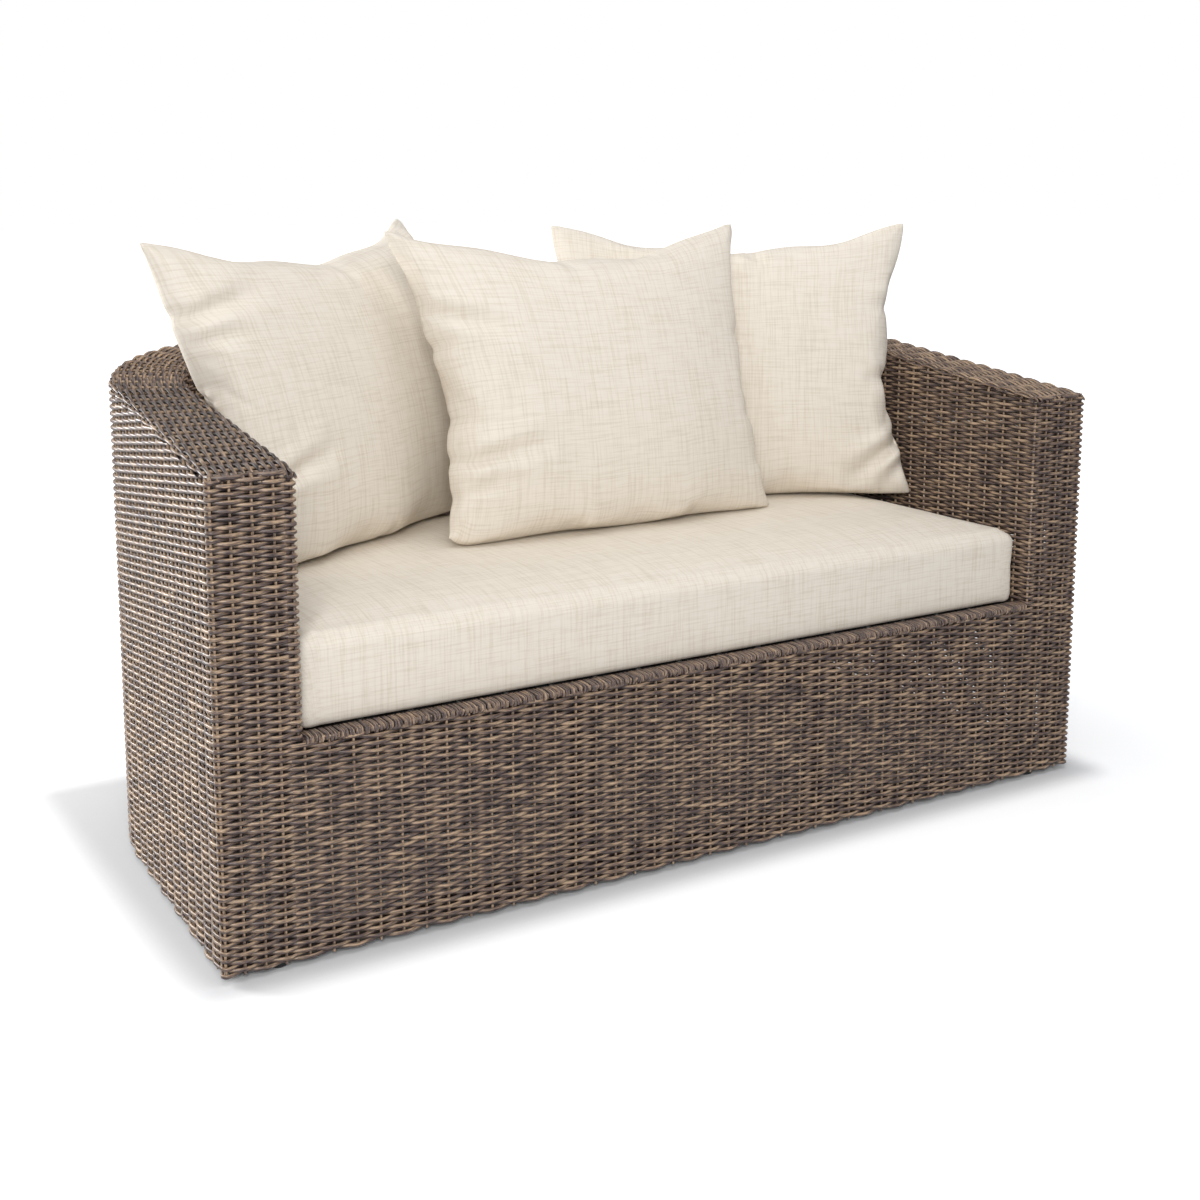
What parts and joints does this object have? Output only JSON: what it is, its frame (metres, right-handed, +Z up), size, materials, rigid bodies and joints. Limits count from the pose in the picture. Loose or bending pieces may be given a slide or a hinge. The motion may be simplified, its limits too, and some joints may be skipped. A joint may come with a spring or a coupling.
{
  "type": "woven resin patio loveseat",
  "caption": "Outdoor loveseat with a horseshoe shell of woven resin wicker whose rim rises to the back and curves round the rear corners, one boxed seat cushion and loose pillows.",
  "frame": {"origin": "on the ground, below the middle of the woven shell's width and depth", "axes": "+X along the width towards the sitter's left arm, +Y towards the back, +Z up; the front faces -Y"},
  "size_m": [1.5, 0.76, 0.9131],
  "materials": {
    "resin_wicker": "satin woven resin strands, brown-grey with tan streaks",
    "frame_tube": "dark powder coat",
    "glide_plastic": "black moulded plastic",
    "steel_fixings": "zinc-plated screws",
    "rivet_aluminium": "plain rivets",
    "webbing": "black elastic webbing",
    "cushion_fabric": "cream linen-look woven cloth",
    "cushion_filling": "white foam and fibre filling",
    "zip_tape": "cream zip tape",
    "zip_metal": "lacquered slider"
  },
  "bodies": {
    "frame": {"arm_front_posts": "frame_tube", "arm_front_weave_left": "resin_wicker", "arm_front_weave_right": "resin_wicker", "arm_ties": "frame_tube", "base_rail_back": "frame_tube", "base_rail_corners": "frame_tube", "base_rail_front": "frame_tube", "base_rail_sides": "frame_tube", "cross_straps": "webbing", "front_legs": "frame_tube", "front_rail_wrapping": "resin_wicker", "front_weave": "resin_wicker", "glide_screws": "steel_fixings", "glides": "glide_plastic", "inner_posts": "frame_tube", "inner_weave_back": "resin_wicker", "inner_weave_left": "resin_wicker", "inner_weave_left_corner": "resin_wicker", "inner_weave_right": "resin_wicker", "inner_weave_right_corner": "resin_wicker", "long_straps": "webbing", "outer_posts": "frame_tube", "outer_weave_back": "resin_wicker", "outer_weave_left": "resin_wicker", "outer_weave_left_corner": "resin_wicker", "outer_weave_right": "resin_wicker", "outer_weave_right_corner": "resin_wicker", "rim_ties": "frame_tube", "rim_tube_inner": "frame_tube", "rim_tube_outer": "frame_tube", "rim_weave_back": "resin_wicker", "rim_weave_left": "resin_wicker", "rim_weave_left_corner": "resin_wicker", "rim_weave_right": "resin_wicker", "rim_weave_right_corner": "resin_wicker", "seat_cross_bars": "frame_tube", "seat_rail_back": "frame_tube", "seat_rail_corners": "frame_tube", "seat_rail_front": "frame_tube", "seat_rail_sides": "frame_tube", "strap_rivets": "rivet_aluminium"},
    "seat_cushion": {"seat_cushion_cover": "cushion_fabric", "seat_cushion_filling": "cushion_filling", "seat_cushion_zip": "zip_tape"},
    "seat_zip_slider": {"seat_cushion_zip_slider": "zip_metal"},
    "pillow_right": {"pillow_right_cover": "cushion_fabric", "pillow_right_filling": "cushion_filling", "pillow_right_zip": "zip_tape"},
    "pillow_right_slider": {"pillow_right_zip_slider": "zip_metal"},
    "pillow_middle": {"pillow_middle_cover": "cushion_fabric", "pillow_middle_filling": "cushion_filling", "pillow_middle_zip": "zip_tape"},
    "pillow_middle_slider": {"pillow_middle_zip_slider": "zip_metal"},
    "pillow_left": {"pillow_left_cover": "cushion_fabric", "pillow_left_filling": "cushion_filling", "pillow_left_zip": "zip_tape"},
    "pillow_left_slider": {"pillow_left_zip_slider": "zip_metal"}
  },
  "joints": [
    {"name": "seat_cushion_lift", "type": "slide", "parent": "frame", "child": "seat_cushion", "axis": [0, 0, 1], "range_m": [0, 0.46]},
    {"name": "pillow_right_lift", "type": "slide", "parent": "seat_cushion", "child": "pillow_right", "axis": [0, 0, 1], "range_m": [0, 0.5]},
    {"name": "pillow_middle_lift", "type": "slide", "parent": "pillow_right", "child": "pillow_middle", "axis": [0, 0, 1], "range_m": [0, 0.5]},
    {"name": "pillow_left_lift", "type": "slide", "parent": "seat_cushion", "child": "pillow_left", "axis": [-0.0483, 0.0788, 0.9957], "range_m": [0, 0.5]},
    {"name": "seat_zip_slide", "type": "slide", "parent": "seat_cushion", "child": "seat_zip_slider", "axis": [1, 0, 0], "range_m": [0, 0.508]},
    {"name": "pillow_right_zip_slide", "type": "slide", "parent": "pillow_right", "child": "pillow_right_slider", "axis": [0.866, -0.5, 0], "range_m": [0, 0.248]},
    {"name": "pillow_middle_zip_slide", "type": "slide", "parent": "pillow_middle", "child": "pillow_middle_slider", "axis": [1, 0.007, 0], "range_m": [0, 0.248]},
    {"name": "pillow_left_zip_slide", "type": "slide", "parent": "pillow_left", "child": "pillow_left_slider", "axis": [0.8526, 0.5225, 0], "range_m": [0, 0.248]}
  ]
}
